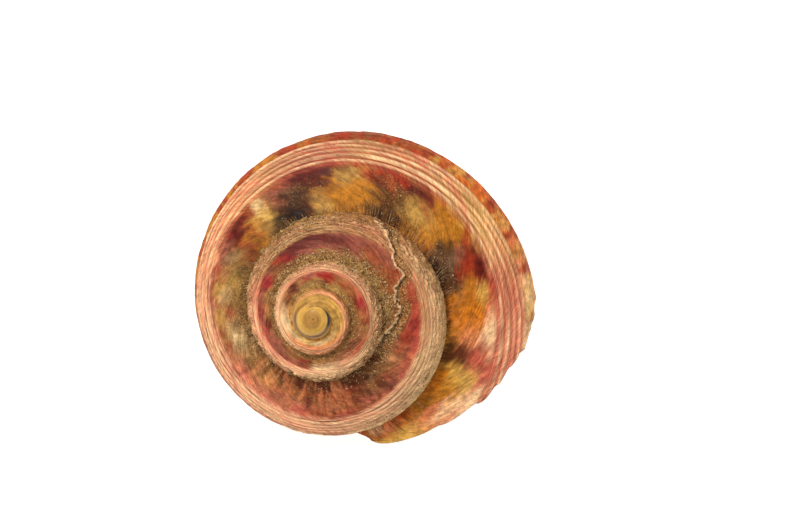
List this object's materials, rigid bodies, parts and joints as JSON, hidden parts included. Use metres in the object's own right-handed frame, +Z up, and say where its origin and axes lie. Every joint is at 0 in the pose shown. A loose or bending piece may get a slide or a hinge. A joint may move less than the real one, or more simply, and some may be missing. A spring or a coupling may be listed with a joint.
{
  "type": "top shell",
  "caption": "Hollow, low-spired spiral sea snail shell with a corded shoulder, a flattened base, a narrow umbilicus and a slanting mouth, lying mouth down",
  "frame": {"origin": "The middle of the underside of the bounding box, on the surface that the shell rests on", "axes": "+Z up, away from that surface; +X runs from the old side of the last whorl towards the lip's outer edge, the shell's longest extent; +Y completes the right-handed frame, so the lip meets the whorl before it on the -Y side"},
  "size_m": [0.0308, 0.028, 0.0154],
  "materials": {
    "shell": "natural shell, satin to glossy, mottled yellow-orange, red-brown and cream"
  },
  "bodies": {
    "root": {"shell": "shell"}
  },
  "joints": []
}
